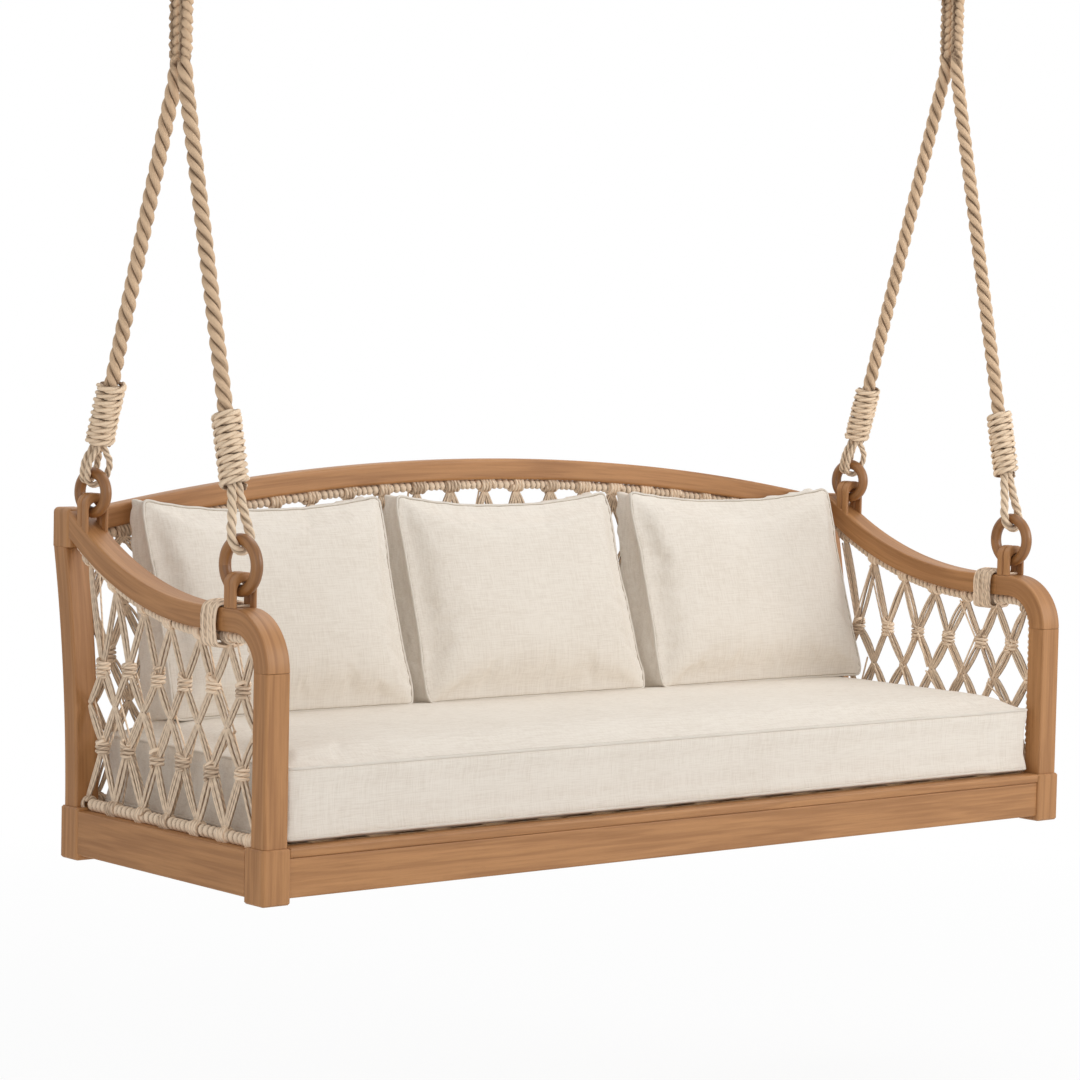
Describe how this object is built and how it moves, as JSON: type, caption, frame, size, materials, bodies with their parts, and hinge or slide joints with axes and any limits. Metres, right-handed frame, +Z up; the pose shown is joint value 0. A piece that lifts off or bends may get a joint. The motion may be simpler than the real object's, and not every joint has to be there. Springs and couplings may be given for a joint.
{
  "type": "hanging swing bed",
  "caption": "Hanging swing bed: curved hardwood frame with knotted cord nets, a seat cushion and leaning back cushions, hung from the ceiling by laid ropes through wooden rings.",
  "frame": {"origin": "in the ceiling plane, midway between the two ceiling plates and centred on their four screw holes", "axes": "+X along the bed to the right as seen from its front, +Y from the front to the back, +Z up"},
  "size_m": [2.138, 0.743, 2.22],
  "materials": {
    "wood": "oiled hardwood, satin, honey brown",
    "deck_wood": "plain sawn hardwood under the seat cushion",
    "ring_wood": "dark red-brown hardwood, polished",
    "rope": "thick laid rope, beige",
    "cord": "cotton cord, cream beige, matt",
    "linen": "plain woven upholstery cloth, off-white",
    "steel": "stainless steel, satin",
    "fasteners": "screws and bolts, zinc-plated",
    "sleeve": "self-lubricating bearing sleeve"
  },
  "bodies": {
    "ceiling": {"ceiling_bracket_left": "steel", "ceiling_bracket_right": "steel", "swing_bolts": "steel", "bolt_sleeves": "sleeve"},
    "link_left": {"hanger_link_left": "steel"},
    "link_right": {"hanger_link_right": "steel"},
    "ropes_left": {"rope_left": "rope", "rope_loops_left": "rope", "rope_bindings_left": "cord", "thimble_left": "steel", "rings_left": "ring_wood"},
    "ropes_right": {"rope_right": "rope", "rope_loops_right": "rope", "rope_bindings_right": "cord", "thimble_right": "steel", "rings_right": "ring_wood"},
    "bed": {"block_front_left": "wood", "block_front_right": "wood", "block_back_left": "wood", "block_back_right": "wood", "post_front_left": "wood", "post_front_right": "wood", "post_back_left": "wood", "post_back_right": "wood", "bend_left": "wood", "bend_right": "wood", "arm_left": "wood", "arm_right": "wood", "cap_left": "wood", "cap_right": "wood", "crest_rail": "wood", "front_lip": "wood", "front_apron": "wood", "back_apron": "wood", "side_apron_left": "wood", "side_apron_right": "wood", "deck_cleats": "deck_wood", "centre_stretcher": "deck_wood", "seat_slats": "deck_wood", "wood_screws": "fasteners", "post_bolts": "fasteners", "frame_dowels": "deck_wood", "eye_front_left": "wood", "eye_front_right": "wood", "eye_back_left": "wood", "eye_back_right": "wood", "arm_lashing_left": "cord", "arm_lashing_right": "cord", "arm_cane_left": "cord", "arm_cane_right": "cord", "base_bars": "cord", "crest_cane": "cord", "side_net_left": "cord", "side_net_right": "cord", "back_net": "cord", "seat_cushion": "linen", "back_cushion_left": "linen", "back_cushion_middle": "linen", "back_cushion_right": "linen"}
  },
  "joints": [
    {"name": "swing", "type": "hinge", "parent": "ceiling", "child": "link_left", "pos_m": [-1.019, 0, -0.04], "axis": [1, 0, 0], "range_deg": [-15, 15]},
    {"name": "swing_right", "type": "hinge", "parent": "ceiling", "child": "link_right", "pos_m": [1.019, 0, -0.04], "axis": [1, 0, 0], "range_deg": [-15, 15]},
    {"name": "sway", "type": "hinge", "parent": "link_left", "child": "ropes_left", "pos_m": [-1.019, 0, -0.1497], "axis": [0, 0.974, 0.2265], "range_deg": [-5, 5]},
    {"name": "sway_bed", "type": "hinge", "parent": "ropes_left", "child": "bed", "pos_m": [-1.019, -0.222, -1.645], "axis": [0, 0.974, 0.2265], "range_deg": [-5, 5]},
    {"name": "sway_ropes_right", "type": "hinge", "parent": "bed", "child": "ropes_right", "pos_m": [1.019, -0.222, -1.645], "axis": [0, 0.974, 0.2265], "range_deg": [-5, 5]}
  ],
  "couplings": [
    {"joint": "swing_right", "follows": "swing", "ratio": 1},
    {"joint": "sway_bed", "follows": "sway", "ratio": -1},
    {"joint": "sway_ropes_right", "follows": "sway", "ratio": 1}
  ]
}
